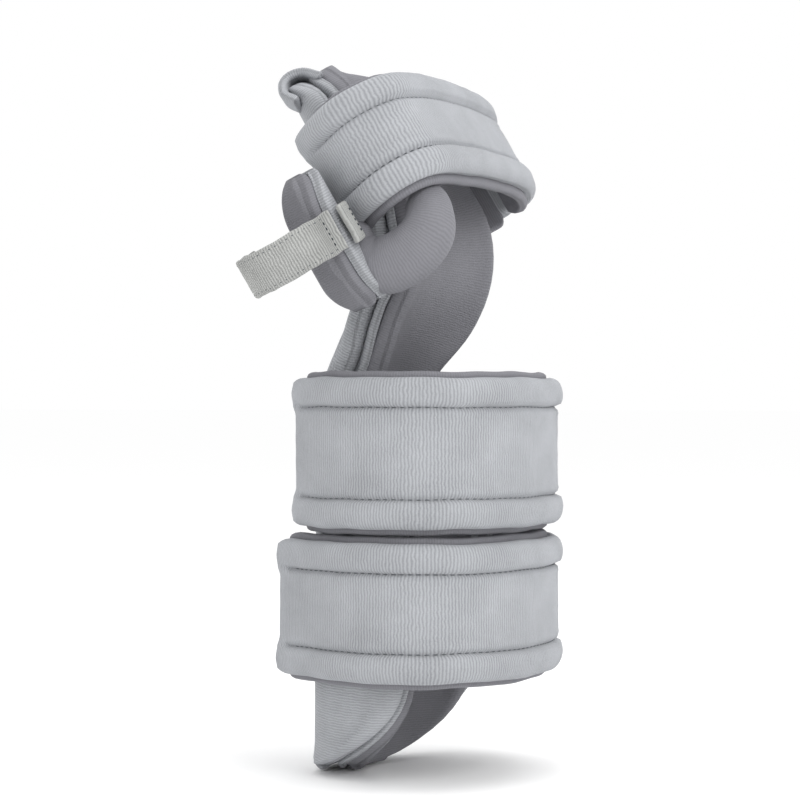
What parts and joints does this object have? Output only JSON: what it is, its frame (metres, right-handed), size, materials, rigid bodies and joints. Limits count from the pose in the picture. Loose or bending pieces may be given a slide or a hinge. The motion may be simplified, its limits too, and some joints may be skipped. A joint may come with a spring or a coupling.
{
  "type": "wrist splint",
  "caption": "Resting wrist and hand splint: padded forearm, palm, finger and thumb trough on a bendable frame, closed by wide padded hook-and-loop straps.",
  "frame": {"origin": "on the forearm's long axis at the wrist, in the middle of the arm channel", "axes": "+Z to the fingertips along the forearm, +Y to the palm side, +X to the little finger's side"},
  "size_m": [0.139, 0.0908, 0.2432],
  "materials": {
    "loop_fabric": "brushed knit",
    "lining": "smooth knit over foam",
    "webbing": "fuzzy loop tape",
    "hook_tape": "matt",
    "aluminium": "satin"
  },
  "bodies": {
    "forearm": {"forearm_liner": "lining", "forearm_facing": "loop_fabric", "forearm_plate": "aluminium", "forearm_cover": "loop_fabric", "forearm_rivet_left": "aluminium", "forearm_rivet_right": "aluminium", "wrist_liner": "lining", "wrist_facing": "loop_fabric", "wrist_bar": "aluminium", "wrist_cover": "loop_fabric", "wrist_strap_base": "loop_fabric", "wrist_strap_base_lining": "lining", "forearm_strap_base": "loop_fabric", "forearm_strap_base_lining": "lining"},
    "hand": {"hand_liner": "lining", "hand_facing": "loop_fabric", "hand_plate": "aluminium", "hand_cover": "loop_fabric", "hand_rivet_left": "aluminium", "hand_rivet_right": "aluminium", "finger_strap_base": "loop_fabric", "finger_strap_base_lining": "lining", "thumb_liner": "lining", "thumb_stay": "aluminium", "thumb_cover": "loop_fabric", "thumb_strap_anchor": "webbing", "web_pad": "lining"},
    "wrist_strap": {"wrist_strap_outer": "loop_fabric", "wrist_strap_lining": "lining"},
    "wrist_strap_tail": {"wrist_strap_tail": "loop_fabric", "wrist_strap_tail_lining": "lining", "wrist_strap_hook": "hook_tape"},
    "forearm_strap": {"forearm_strap_outer": "loop_fabric", "forearm_strap_lining": "lining"},
    "forearm_strap_tail": {"forearm_strap_tail": "loop_fabric", "forearm_strap_tail_lining": "lining", "forearm_strap_hook": "hook_tape"},
    "finger_strap": {"finger_strap_outer": "loop_fabric", "finger_strap_lining": "lining"},
    "finger_strap_tail": {"finger_strap_tail": "loop_fabric", "finger_strap_tail_lining": "lining", "finger_strap_hook": "hook_tape"},
    "thumb_strap": {"thumb_strap": "webbing"}
  },
  "joints": [
    {"name": "wrist_bend", "type": "hinge", "parent": "forearm", "child": "hand", "pos_m": [0, 0.0315, 0.0162], "axis": [1, 0, 0], "range_deg": [-15, 20], "deforming": ["wrist_liner", "wrist_facing", "wrist_cover", "wrist_bar"]},
    {"name": "wrist_strap_open", "type": "hinge", "parent": "forearm", "child": "wrist_strap", "pos_m": [0.05712, -0.00022, -0.0175], "axis": [0, 0, 1], "range_deg": [0, 75]},
    {"name": "wrist_strap_peel", "type": "hinge", "parent": "wrist_strap", "child": "wrist_strap_tail", "pos_m": [-0.05552, -0.0107, -0.0175], "axis": [0, 0, 1], "range_deg": [0, 105]},
    {"name": "forearm_strap_open", "type": "hinge", "parent": "forearm", "child": "forearm_strap", "pos_m": [0.05712, -0.00022, -0.07], "axis": [0, 0, 1], "range_deg": [0, 75]},
    {"name": "forearm_strap_peel", "type": "hinge", "parent": "forearm_strap", "child": "forearm_strap_tail", "pos_m": [-0.05552, -0.0107, -0.07], "axis": [0, 0, 1], "range_deg": [0, 105]},
    {"name": "finger_strap_open", "type": "hinge", "parent": "hand", "child": "finger_strap", "pos_m": [0.05761, 0.00245, 0.08589], "axis": [0, 0.515, 0.8572], "range_deg": [0, 75]},
    {"name": "finger_strap_peel", "type": "hinge", "parent": "finger_strap", "child": "finger_strap_tail", "pos_m": [-0.05566, -0.00272, 0.08899], "axis": [0, 0.515, 0.8572], "range_deg": [0, 135]},
    {"name": "thumb_strap_open", "type": "hinge", "parent": "hand", "child": "thumb_strap", "pos_m": [-0.06895, 0.00929, 0.0561], "axis": [-0.2764, 0.4215, 0.8637], "range_deg": [0, 80]}
  ],
  "couplings": [
    {"joint": "wrist_strap_peel", "follows": "wrist_strap_open", "ratio": 1.4},
    {"joint": "forearm_strap_peel", "follows": "forearm_strap_open", "ratio": 1.4},
    {"joint": "finger_strap_peel", "follows": "finger_strap_open", "ratio": 1.75}
  ]
}
